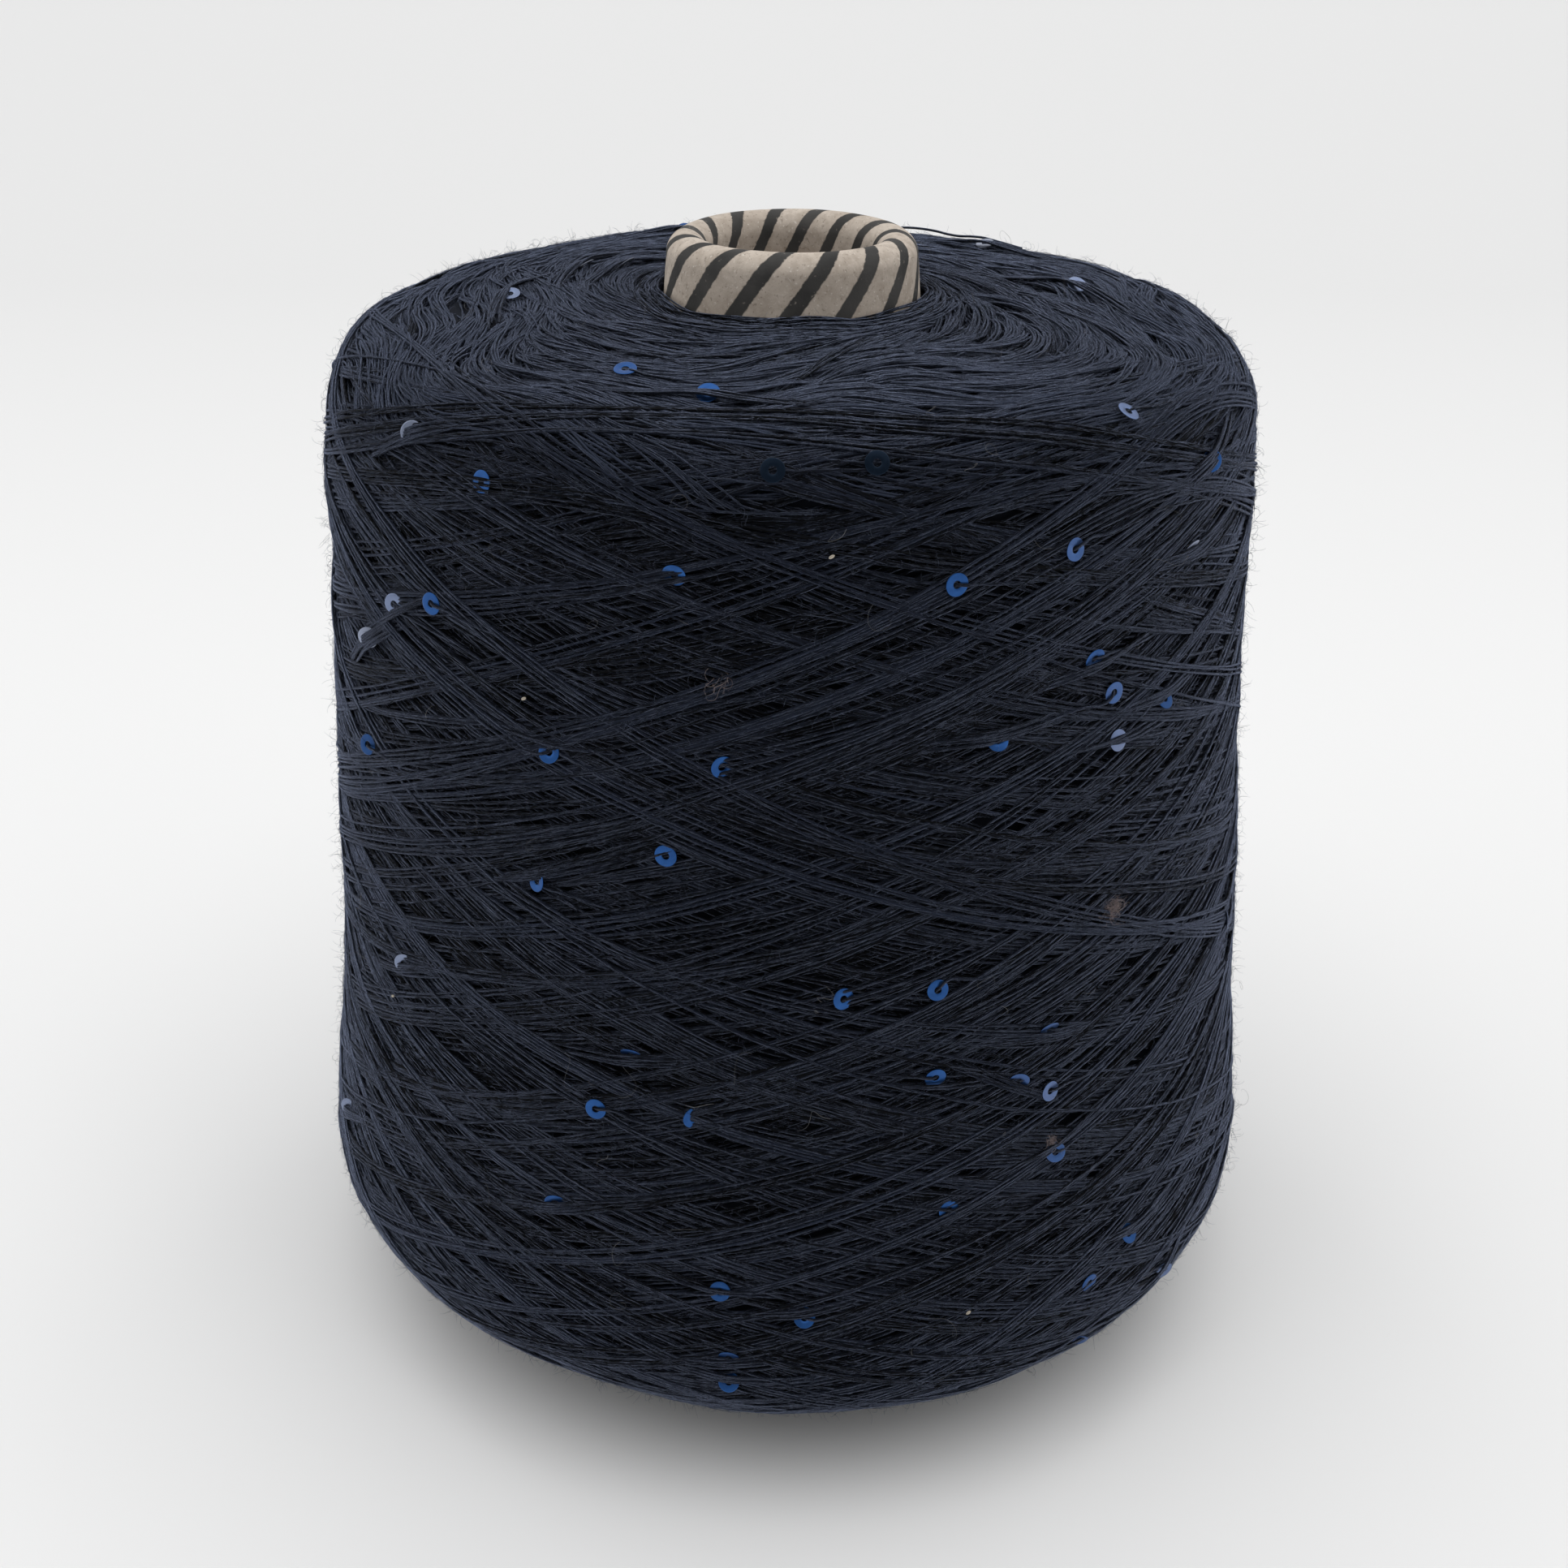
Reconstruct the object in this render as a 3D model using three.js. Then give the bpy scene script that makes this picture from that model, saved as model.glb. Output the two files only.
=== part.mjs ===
// A cone of fine sequin yarn, standing on its base: a paperboard winding cone with a rolled nose, the
// cross-wound package of yarn on it, one slack strand lying on top, and the sequins that are threaded on
// the outermost turns. Millimetres, +Z up, origin at the centre of the cone's base.
import * as THREE from "three";

const DEGREE = Math.PI / 180;

// Winding cone, of rolled paperboard. Its nose is curled inwards over the bore.
const CONE_LENGTH = 170;
const CONE_HALF_ANGLE = (4 + 20 / 60) * DEGREE;
const NOSE_RADIUS = 17.9;
const BOARD = 2;
const CURL_RADIUS = 3;
const CURL_LIP = 8;
const CONE_SIDES = 48;

// Package of yarn. The cone stands out of it at both ends.
const NOSE_BARE = 8.6;
const BASE_BARE = 8;
const CROWN_DROP = 2.4;
const SHOULDER_RADIUS = 67.6;
const SHOULDER_WIDTH = 9.6;
const SHOULDER_HEIGHT = 12;
const WAIST_HOLLOW = 2;
const BELLY_RADIUS = 76.7;
const BELLY_HEIGHT = 20;
const EDGE_WIDTH = 22.7;
const DISH_RISE = 3;
const PACKAGE_SIDES = 48;

// Sequins, punched from film, each threaded on the yarn through its hole.
const SEQUIN_DIAMETER = 3;
const SEQUIN_HOLE = 0.9;
const SEQUIN_THICKNESS = 0.12;
const SEQUIN_TILT = 9 * DEGREE;
const SEQUIN_QUARTER_SIDES = 4;

// Yarn, and the gap that is kept between touching pieces.
const YARN_DIAMETER = 0.5;
const CLEARANCE = 0.3;

// Where the sequins of the top face have come to rest: degrees round from the front, and percent of the way
// from the cone to the shoulder.
const SEQUINS_ON_TOP = [
  [-27, 56], [-12, 63], [42, 89], [-2, 94], [9, 93], [-116, 33], [-120, 21], [-90, 45], [102, 50], [145, 76],
  [-160, 68],
];

// And those of the side: degrees round from the front, and percent of the package's height.
const SEQUINS_ON_SIDE = [
  [54, 92], [-47, 95], [31, 88.5], [17, 87], [-42, 81.5], [-49, 80], [-56, 75], [50, 85], [34, 78.5],
  [37, 75], [46, 72.5], [22, 73.5], [38, 70.5], [-58, 64], [-26, 71.5], [-28, 59], [-50, 44], [16, 51],
  [30, 44], [16, 42], [26, 40], [30, 38], [-17, 44], [-21, 38], [-69, 18.5], [-26, 27], [31, 31], [42, 18],
  [49, 10.5], [-7, 21], [2, 18.5], [-6, 14], [-6, 11], [68, 42],
  [97, 78], [118, 33], [133, 63], [151, 85], [158, 18], [176, 48], [-169, 74], [-152, 29], [-137, 55],
  [-121, 84], [-108, 12],
];

// Route of the slack strand over the top face, where it stands off the package in two low arches: degrees
// round from the front, distance in from the shoulder, and height of its underside above the yarn.
const SLACK_STRAND = [
  [178, 11.5, 0.4], [174, 10.8, 0.35], [170, 10.1, 0.35], [166, 9.5, 0.4], [163, 9.1, 0.6], [160.5, 8.8, 0.85],
  [158, 8.6, 0.9], [155.5, 8.5, 0.75], [153.5, 8.4, 0.5], [151.5, 8.4, 0.45], [149.5, 8.4, 0.65],
  [147.5, 8.4, 0.75], [145.5, 8.4, 0.6], [143, 8.3, 0.35], [140, 8.2, 0.35],
];
const SLACK_SECTION_SIDES = 8;
const SLACK_STEPS = 36;

const cardboard = new THREE.MeshStandardMaterial({ color: 0xc9bdae, roughness: 0.9, metalness: 0 });
const yarn = new THREE.MeshStandardMaterial({ color: 0x2a3142, roughness: 1, metalness: 0 });
const film = new THREE.MeshStandardMaterial({ color: 0x2f63ae, roughness: 0.3, metalness: 0 });

const packageTop = CONE_LENGTH - NOSE_BARE;
const packageBottom = BASE_BARE;

// Outside radius of the cone's straight wall at a height above its base.
function coneRadius(z) {
  return NOSE_RADIUS + (CONE_LENGTH - z) * Math.tan(CONE_HALF_ANGLE);
}

// Radius of the hole through the package, which the cone fills.
function boreRadius(z) {
  return coneRadius(z) + CLEARANCE;
}

function named(name, geometry, material) {
  const mesh = new THREE.Mesh(geometry, material);
  mesh.name = name;
  return mesh;
}

// A closed profile of (radius, height) points turned about Z.
function turned(profile, sides) {
  return new THREE.LatheGeometry([...profile, profile[0]], sides).rotateX(Math.PI / 2);
}

function arc(radius, z, size, from, to, steps) {
  return new THREE.EllipseCurve(radius, z, size, size, from, to, to < from).getPoints(steps);
}

// The wall goes up to the nose, over in a half round, and down again as a lip inside the bore.
function paperCone() {
  const curlHeight = CONE_LENGTH - CURL_RADIUS;
  const curlCentre = coneRadius(curlHeight) - CURL_RADIUS;
  const lipEnd = curlHeight - CURL_LIP;
  const profile = [
    new THREE.Vector2(coneRadius(0), 0),
    ...arc(curlCentre, curlHeight, CURL_RADIUS, 0, Math.PI, 10),
    new THREE.Vector2(curlCentre - CURL_RADIUS, lipEnd),
    new THREE.Vector2(curlCentre - CURL_RADIUS + BOARD, lipEnd),
    ...arc(curlCentre, curlHeight, CURL_RADIUS - BOARD, Math.PI, 0, 5),
    new THREE.Vector2(coneRadius(0) - BOARD, 0),
  ];
  return named("paper_cone", turned(profile, CONE_SIDES), cardboard);
}

// The package's outline from the nose to the foot, in four curves: crown, shoulder, side and bottom edge.
function packageCurves() {
  const point = (radius, z) => new THREE.Vector2(radius, z);
  const nose = point(boreRadius(packageTop), packageTop);
  const crown = point(SHOULDER_RADIUS - SHOULDER_WIDTH, packageTop - CROWN_DROP);
  const shoulder = point(SHOULDER_RADIUS, crown.y - SHOULDER_HEIGHT);
  const belly = point(BELLY_RADIUS, packageBottom + BELLY_HEIGHT);
  const foot = point(BELLY_RADIUS - EDGE_WIDTH, packageBottom);
  return {
    crown: new THREE.QuadraticBezierCurve(nose, point((nose.x + crown.x) / 2, packageTop), crown),
    shoulder: new THREE.QuadraticBezierCurve(
      crown,
      point(shoulder.x - SHOULDER_HEIGHT * 0.07, crown.y - SHOULDER_HEIGHT * 0.12),
      shoulder,
    ),
    side: new THREE.CubicBezierCurve(
      shoulder,
      shoulder.clone().lerp(belly, 0.36).add(point(-WAIST_HOLLOW * 0.2, 0)),
      belly.clone().lerp(shoulder, 0.32).add(point(-WAIST_HOLLOW * 1.3, 0)),
      belly,
    ),
    edge: new THREE.CubicBezierCurve(
      belly,
      belly.clone().add(point(WAIST_HOLLOW * 0.7, -BELLY_HEIGHT * 0.55)),
      foot.clone().lerp(point(BELLY_RADIUS, packageBottom), 0.57),
      foot,
    ),
  };
}

function yarnPackage(curves) {
  const dish = packageBottom + DISH_RISE;
  const profile = [
    ...curves.crown.getPoints(6),
    ...curves.shoulder.getPoints(6).slice(1),
    ...curves.side.getPoints(8).slice(1),
    ...curves.edge.getPoints(7).slice(1),
    new THREE.Vector2(boreRadius(dish), dish),
  ].reverse();
  return named("yarn_package", turned(profile, PACKAGE_SIDES), yarn);
}

// The point of a curve of the outline that meets a test, and the way out of the yarn there.
function onOutline(curve, isPast) {
  let [low, high] = [0, 1];
  while (high - low > 1e-4) {
    const middle = (low + high) / 2;
    if (isPast(curve.getPoint(middle))) high = middle;
    else low = middle;
  }
  const along = curve.getTangent(high);
  return { point: curve.getPoint(high), out: new THREE.Vector2(-along.y, along.x) };
}

function onTop(curves, radius) {
  const curve = radius < curves.crown.getPoint(1).x ? curves.crown : curves.shoulder;
  return onOutline(curve, (p) => p.x >= radius);
}

function onSide(curves, z) {
  const curve = [curves.shoulder, curves.side, curves.edge].find((c) => c.getPoint(1).y <= z);
  return onOutline(curve, (p) => p.y <= z);
}

// A place in the outline's plane, turned to an azimuth: 0 is the front, -Y, and +90 is +X.
function around(flat, azimuth) {
  const turn = azimuth * DEGREE;
  return new THREE.Vector3(flat.x * Math.sin(turn), -flat.x * Math.cos(turn), flat.y);
}

function sequinGeometry() {
  const disc = new THREE.Shape().absarc(0, 0, SEQUIN_DIAMETER / 2, 0, 2 * Math.PI);
  disc.holes.push(new THREE.Path().absarc(0, 0, SEQUIN_HOLE / 2, 0, 2 * Math.PI, true));
  return new THREE.ExtrudeGeometry(disc, {
    depth: SEQUIN_THICKNESS,
    bevelEnabled: false,
    curveSegments: 2 * SEQUIN_QUARTER_SIDES,
  }).translate(0, 0, -SEQUIN_THICKNESS / 2);
}

// Sequins lie on the yarn and lean a little, each its own way. A leaning one is raised to clear the yarn.
function sequin(name, geometry, seat, azimuth, number) {
  const mesh = named(name, geometry, film);
  const lean = (SEQUIN_TILT * (1 + Math.cos(2.4 * number))) / 2;
  const out = around(seat.out, azimuth).normalize();
  const raise = CLEARANCE + SEQUIN_THICKNESS + (Math.sin(lean) * SEQUIN_DIAMETER) / 2;
  mesh.position.copy(around(seat.point, azimuth)).addScaledVector(out, raise);
  mesh.quaternion.setFromUnitVectors(new THREE.Vector3(0, 0, 1), out);
  mesh.rotateZ(2.4 * number).rotateX(lean);
  return mesh;
}

function sequins(curves) {
  const geometry = sequinGeometry();
  const share = (from, to, percent) => from + ((to - from) * percent) / 100;
  const bore = boreRadius(packageTop);
  const seats = [
    ...SEQUINS_ON_TOP.map(([turn, out]) => [turn, onTop(curves, share(bore, SHOULDER_RADIUS, out))]),
    ...SEQUINS_ON_SIDE.map(([turn, up]) => [turn, onSide(curves, share(packageBottom, packageTop, up))]),
  ];
  return seats.map(([azimuth, seat], i) => {
    const name = `sequin_${String(i + 1).padStart(2, "0")}`;
    return sequin(name, geometry, seat, azimuth, i);
  });
}

function slackStrand(curves) {
  const route = SLACK_STRAND.map(([azimuth, inwards, height]) => {
    const seat = onTop(curves, SHOULDER_RADIUS - inwards);
    return around(seat.point, azimuth).addScaledVector(around(seat.out, azimuth), height + YARN_DIAMETER / 2);
  });
  const section = new THREE.Shape().absarc(0, 0, YARN_DIAMETER / 2, 0, 2 * Math.PI);
  const geometry = new THREE.ExtrudeGeometry(section, {
    steps: SLACK_STEPS,
    curveSegments: SLACK_SECTION_SIDES / 2,
    extrudePath: new THREE.CatmullRomCurve3(route),
  });
  return named("slack_strand", geometry, yarn);
}

const curves = packageCurves();
const coneOfYarn = new THREE.Group();
coneOfYarn.add(paperCone(), yarnPackage(curves), slackStrand(curves), ...sequins(curves));

export default coneOfYarn;
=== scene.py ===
import math

import bpy
import numpy as np
from mathutils import Matrix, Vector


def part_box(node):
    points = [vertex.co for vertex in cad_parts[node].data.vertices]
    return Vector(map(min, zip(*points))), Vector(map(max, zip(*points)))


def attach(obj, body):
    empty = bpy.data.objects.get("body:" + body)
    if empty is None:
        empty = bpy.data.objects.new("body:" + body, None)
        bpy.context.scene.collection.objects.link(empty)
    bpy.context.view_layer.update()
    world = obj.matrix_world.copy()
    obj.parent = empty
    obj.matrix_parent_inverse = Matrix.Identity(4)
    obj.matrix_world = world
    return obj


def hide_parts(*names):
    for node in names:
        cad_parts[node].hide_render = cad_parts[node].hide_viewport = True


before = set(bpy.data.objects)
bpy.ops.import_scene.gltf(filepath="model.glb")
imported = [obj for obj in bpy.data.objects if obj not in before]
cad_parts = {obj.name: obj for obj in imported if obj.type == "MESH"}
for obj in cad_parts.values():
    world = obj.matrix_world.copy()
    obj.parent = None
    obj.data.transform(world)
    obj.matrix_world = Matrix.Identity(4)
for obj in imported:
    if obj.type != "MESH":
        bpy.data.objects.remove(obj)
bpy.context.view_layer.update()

# ---------------------------------------------------------------------------------------------------------
# The winding cone: a tapered tube of grey-brown recycled paperboard, rolled from one blank. Slanting dark
# stripes are printed on the blank, and then the nose is curled inwards over the bore, so the stripes run
# over the crest and end raggedly on the lip inside.
MM = 0.001
BOARD = 2 * MM
CURL_RADIUS = 3 * MM
CURL_LIP = 8 * MM
CONE_SIDES = 240
STRIPES = 15

cone_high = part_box("paper_cone")[1]
cone_length = cone_high[2]
cone_base_radius = cone_high[0]
CONE_TAPER = math.tan(math.radians(4 + 20 / 60))


def cone_radius(z):
    """Outside radius of the straight wall at a height above the base."""
    return cone_base_radius - z * CONE_TAPER


def mesh_of(name, points, faces, material):
    """One mesh piece from points and faces of four corners, smooth, with its material."""
    mesh = bpy.data.meshes.new(name)
    mesh.vertices.add(len(points))
    mesh.vertices.foreach_set("co", np.asarray(points, np.float32).ravel())
    mesh.loops.add(faces.size)
    mesh.loops.foreach_set("vertex_index", faces.astype(np.int32).ravel())
    mesh.polygons.add(len(faces))
    mesh.polygons.foreach_set("loop_start", np.arange(0, faces.size, 4, dtype=np.int32))
    mesh.polygons.foreach_set("use_smooth", np.ones(len(faces), bool))
    mesh.update(calc_edges=True)
    mesh.materials.append(material)
    piece = bpy.data.objects.new(name, mesh)
    bpy.context.collection.objects.link(piece)
    return piece


def ring_faces(rings, sides):
    """Faces between rings of points, each ring closed on itself and the last ring joined to the first."""
    ring, side = np.meshgrid(np.arange(rings), np.arange(sides), indexing="ij")
    after = (ring + 1) % rings
    beside = (side + 1) % sides
    corners = [ring * sides + side, ring * sides + beside, after * sides + beside, after * sides + side]
    return np.stack(corners, -1).reshape(-1, 4)


def blank_material(name):
    """A material with only its Principled shader, and a shorthand that adds a node with its values."""
    material = bpy.data.materials.new(name)
    material.use_nodes = True
    tree = material.node_tree
    shader = tree.nodes["Principled BSDF"]

    def add(kind, values=None, **settings):
        node = tree.nodes.new(kind)
        for key, value in settings.items():
            setattr(node, key, value)
        for socket, value in (values or {}).items():
            if isinstance(value, bpy.types.NodeSocket):
                tree.links.new(value, node.inputs[socket])
            else:
                node.inputs[socket].default_value = value
        return node

    return material, tree, shader, add


def paperboard_material():
    """Recycled board: mottled grey-brown pulp with fine dark and pale specks, and the printed stripes."""
    material, tree, shader, add = blank_material("paperboard")
    place = add("ShaderNodeTexCoord").outputs["Object"]
    blank = add("ShaderNodeUVMap", uv_map="blank").outputs["UV"]
    turns = add("ShaderNodeSeparateXYZ", {"Vector": blank})

    def maths(operation, *values, clamp=False):
        node = add("ShaderNodeMath", dict(enumerate(values)), operation=operation, use_clamp=clamp)
        return node.outputs[0]

    def mottle(scale, detail, low, high):
        noise = add("ShaderNodeTexNoise", {"Vector": place, "Scale": scale, "Detail": detail})
        span = add("ShaderNodeMapRange", {"Value": noise.outputs["Fac"], 1: low, 2: high}, clamp=True)
        return span.outputs[0]

    def blend(share, colour_a, colour_b):
        node = add("ShaderNodeMix", {"Factor": share, 6: colour_a, 7: colour_b}, data_type="RGBA")
        return node.outputs[2]

    pulp = blend(mottle(90, 4, 0.3, 0.7), (0.44, 0.375, 0.315, 1), (0.58, 0.51, 0.44, 1))
    pulp = blend(maths("MULTIPLY", mottle(700, 6, 0.42, 0.66), 0.45), pulp, (0.3, 0.245, 0.195, 1))
    pulp = blend(maths("MULTIPLY", mottle(2300, 3, 0.6, 0.72), 0.7), pulp, (0.2, 0.165, 0.13, 1))
    pulp = blend(mottle(2600, 3, 0.62, 0.74), pulp, (0.66, 0.61, 0.55, 1))

    # Stripe number and the place across it. The hand-inked look comes from a slow wander and a ragged rim.
    wander = maths("MULTIPLY", mottle(55, 1, 0, 1), 0.16)
    rough_rim = maths("MULTIPLY", mottle(1300, 3, 0, 1), 0.075)
    climb = maths("MULTIPLY", turns.outputs["Y"], STRIPE_LEAN / MM)
    number = maths("SUBTRACT", maths("MULTIPLY", turns.outputs["X"], STRIPES), climb)
    across = maths("PINGPONG", maths("ADD", number, maths("ADD", wander, STRIPE_SHIFT)), 0.5)
    edge = maths("ADD", across, rough_rim)
    ink = maths("MULTIPLY", maths("SUBTRACT", STRIPE_HALF_WIDTH, edge), STRIPE_SHARPNESS, clamp=True)
    ragged_end = maths("ADD", turns.outputs["Y"], maths("MULTIPLY", mottle(420, 3, 0.2, 0.8), 5 * MM))
    before_end = maths("MULTIPLY", maths("SUBTRACT", STRIPE_END, ragged_end), 900, clamp=True)
    ink = maths("MULTIPLY", ink, before_end)
    ink = maths("MULTIPLY", ink, mottle(1500, 4, 0.1, 0.34))
    dark = blend(mottle(160, 3, 0.3, 0.7), (0.03, 0.0295, 0.0285, 1), (0.066, 0.063, 0.06, 1))

    inside = maths("MULTIPLY", maths("SUBTRACT", turns.outputs["Y"], LIP_START), 300, clamp=True)
    raw = blend(mottle(260, 8, 0.3, 0.7), (0.27, 0.185, 0.13, 1), (0.56, 0.42, 0.32, 1))
    board = blend(maths("MULTIPLY", inside, 0.8), pulp, raw)
    tree.links.new(blend(ink, board, dark), shader.inputs["Base Color"])

    shader.inputs["Roughness"].default_value = 0.86
    shader.inputs["Specular IOR Level"].default_value = 0.3
    grain = maths("ADD", mottle(2600, 3, 0, 1), maths("MULTIPLY", mottle(330, 4, 0, 1), 1.6))
    bump = add("ShaderNodeBump", {"Strength": 0.35, "Distance": 0.12 * MM, "Height": grain})
    tree.links.new(bump.outputs["Normal"], shader.inputs["Normal"])
    return material


def cone_profile():
    """The wall's section (radius, height) up the outside, over the curl, down the lip and back inside.

    Also the running length along it, and the number of its first point on the lip.
    """
    curl_height = cone_length - CURL_RADIUS
    curl_centre = cone_radius(curl_height) - CURL_RADIUS
    lip_end = curl_height - CURL_LIP
    heights = np.append(np.linspace(0, 0.15, 16), np.linspace(0.151, curl_height, 16))
    wall = [(cone_radius(z), z) for z in heights]
    over = [(curl_centre + CURL_RADIUS * math.cos(t), curl_height + CURL_RADIUS * math.sin(t))
            for t in np.linspace(0, math.pi, 25)[1:]]
    lip = [(curl_centre - CURL_RADIUS, z) for z in np.linspace(curl_height, lip_end, 14)[1:]]
    inner = CURL_RADIUS - BOARD
    under = [(curl_centre + inner * math.cos(t), curl_height + inner * math.sin(t))
             for t in np.linspace(math.pi, 0, 13)]
    back = [(cone_radius(z) - BOARD, z) for z in np.linspace(curl_height, 0, 40)[1:]]
    rim = [(curl_centre - CURL_RADIUS + BOARD * 0.4, lip_end - 0.25 * MM), (curl_centre - inner, lip_end)]
    profile = np.array(wall + over + lip + rim + under + back)
    step = np.linalg.norm(np.diff(profile, axis=0), axis=1)
    return profile, np.append(0, np.cumsum(step)), len(wall) + len(over)


profile, along, lip_first = cone_profile()
LIP_START = float(along[lip_first]) + 1 * MM
STRIPE_END = float(along[lip_first]) + 9 * MM
STRIPE_LEAN = 0.095
STRIPE_SHIFT = 0.42
STRIPE_HALF_WIDTH = 0.228
STRIPE_SHARPNESS = 34
paperboard = paperboard_material()

angles = np.linspace(0, 2 * math.pi, CONE_SIDES, endpoint=False)
# Hand-pressed curl: the crest and the mouth are not quite round, and the board inside is wrinkled.
sway = 0.12 * MM * (np.sin(2 * angles + 0.6) + 0.7 * np.sin(3 * angles + 2) + 0.5 * np.sin(7 * angles))
loose = np.clip((profile[:, 1] - (cone_length - 20 * MM)) / (20 * MM), 0, 1)
ring_radius = profile[:, :1] + loose[:, None] * sway
ring_height = profile[:, 1:] + loose[:, None] * 0.1 * MM * np.sin(2 * angles + 1.9)
cone_points = np.stack([ring_radius * np.sin(angles), -ring_radius * np.cos(angles),
                        np.broadcast_to(ring_height, ring_radius.shape)], -1)
paper_cone = mesh_of("winding_cone", cone_points.reshape(-1, 3), ring_faces(len(profile), CONE_SIDES),
                     paperboard)
blank_map = paper_cone.data.uv_layers.new(name="blank")
ring_of, side_of = np.divmod(np.arange(len(profile) * CONE_SIDES), CONE_SIDES)
next_side = np.arange(1, CONE_SIDES + 1) / CONE_SIDES
this_side = np.arange(CONE_SIDES) / CONE_SIDES
next_along = np.append(along[1:], along[-1] + BOARD)
corner_turn = np.stack([this_side[side_of], next_side[side_of], next_side[side_of], this_side[side_of]], 1)
corner_along = np.stack([along[ring_of], along[ring_of], next_along[ring_of], next_along[ring_of]], 1)
blank_map.uv.foreach_set("vector", np.stack([corner_turn, corner_along], -1).astype(np.float32).ravel())
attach(paper_cone, "root")
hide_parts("paper_cone")

# ---------------------------------------------------------------------------------------------------------
# The package: one fine, softly spun, two-ply navy yarn, cross-wound on the cone in ribbons of a few turns
# that lie side by side, climb the side at about 16 degrees, turn back at both ends and cross each other.
# Under the turns that are modelled one by one lies a plain dark body of the same yarn.
YARN = 0.43 * MM
SKIN_DEPTH = 2.1 * MM
random = np.random.default_rng(3171)


def package_outline():
    """The CAD solid's outline from the nose to the bore's foot: length, points, and ways out of the yarn."""
    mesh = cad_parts["yarn_package"].data
    flat = np.empty(len(mesh.vertices) * 3, np.float32)
    mesh.vertices.foreach_get("co", flat)
    corners = flat.reshape(-1, 3).astype(float)
    swung = np.stack([np.hypot(corners[:, 0], corners[:, 1]), corners[:, 2]], 1)
    section = np.unique(np.round(swung, 6), axis=0)
    middle = (section.min(0) + section.max(0)) / 2
    turn = np.arctan2(section[:, 1] - middle[1], section[:, 0] - middle[0])
    section = section[np.argsort(-turn)]
    first = np.argmax(section[:, 1] - 0.2 * section[:, 0])
    section = np.roll(section, -first, axis=0)
    keep = np.append(True, np.linalg.norm(np.diff(section, axis=0), axis=1) > 0.05 * MM)
    section = section[keep]
    length = np.append(0, np.cumsum(np.linalg.norm(np.diff(section, axis=0), axis=1)))
    fine = np.arange(0, length[-1], 0.5 * MM)
    points = np.stack([np.interp(fine, length, section[:, i]) for i in (0, 1)], 1)
    kernel = np.hanning(11) / np.hanning(11).sum()
    padded = np.vstack([points[:1].repeat(5, 0), points, points[-1:].repeat(5, 0)])
    points = np.stack([np.convolve(padded[:, i], kernel, "valid") for i in (0, 1)], 1)
    run = np.gradient(points, axis=0)
    run /= np.linalg.norm(run, axis=1)[:, None]
    return fine, points, np.stack([-run[:, 1], run[:, 0]], 1)


outline_length, outline_points, outline_out = package_outline()


def length_at(test):
    """Length along the outline, from the nose, of the first point that meets a test."""
    return float(outline_length[np.argmax(test(outline_points[:, 0], outline_points[:, 1]))])


package_low, package_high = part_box("yarn_package")
package_height = package_high[2] - package_low[2]
# Lengths at which the shoulder begins, the shoulder ends, and the edge of the foot begins.
shoulder_start = length_at(lambda r, z: r > package_high[0] * 0.76)
shoulder_end = length_at(lambda r, z: z < package_high[2] - 14 * MM)
edge_start = length_at(lambda r, z: (z < package_low[2] + 20 * MM) & (r > package_high[0] * 0.8))
DENT = 0.18 * MM
CROWN_TILT = 0.008


def uneven(azimuth, length):
    """Slow dents and swellings of a hand-handled package, as metres out of its surface."""
    wave = np.sin(3 * azimuth + 60 * length + 1) + np.sin(5 * azimuth - 110 * length + 2)
    return DENT * (wave + np.sin(2 * azimuth + 35 * length) + 0.6 * np.sin(9 * azimuth + 210 * length))


def on_package(azimuth, length, depth):
    """Points in space, and their way out, for azimuths, lengths down the outline and depths in the yarn."""
    radius = np.interp(length, outline_length, outline_points[:, 0])
    height = np.interp(length, outline_length, outline_points[:, 1])
    out_r = np.interp(length, outline_length, outline_out[:, 0])
    out_z = np.interp(length, outline_length, outline_out[:, 1])
    sink = depth - uneven(azimuth, length)
    radius = radius - sink * out_r
    height = height - sink * out_z
    # The crown has settled a little lower on the +X side.
    crown = np.clip(1 - length / shoulder_end, 0, 0.5) * 2
    height = height - CROWN_TILT * radius * np.sin(azimuth) * crown
    points = np.stack([radius * np.sin(azimuth), -radius * np.cos(azimuth), height], -1)
    out = np.stack([out_r * np.sin(azimuth), -out_r * np.cos(azimuth), out_z], -1)
    return points, out


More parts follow.
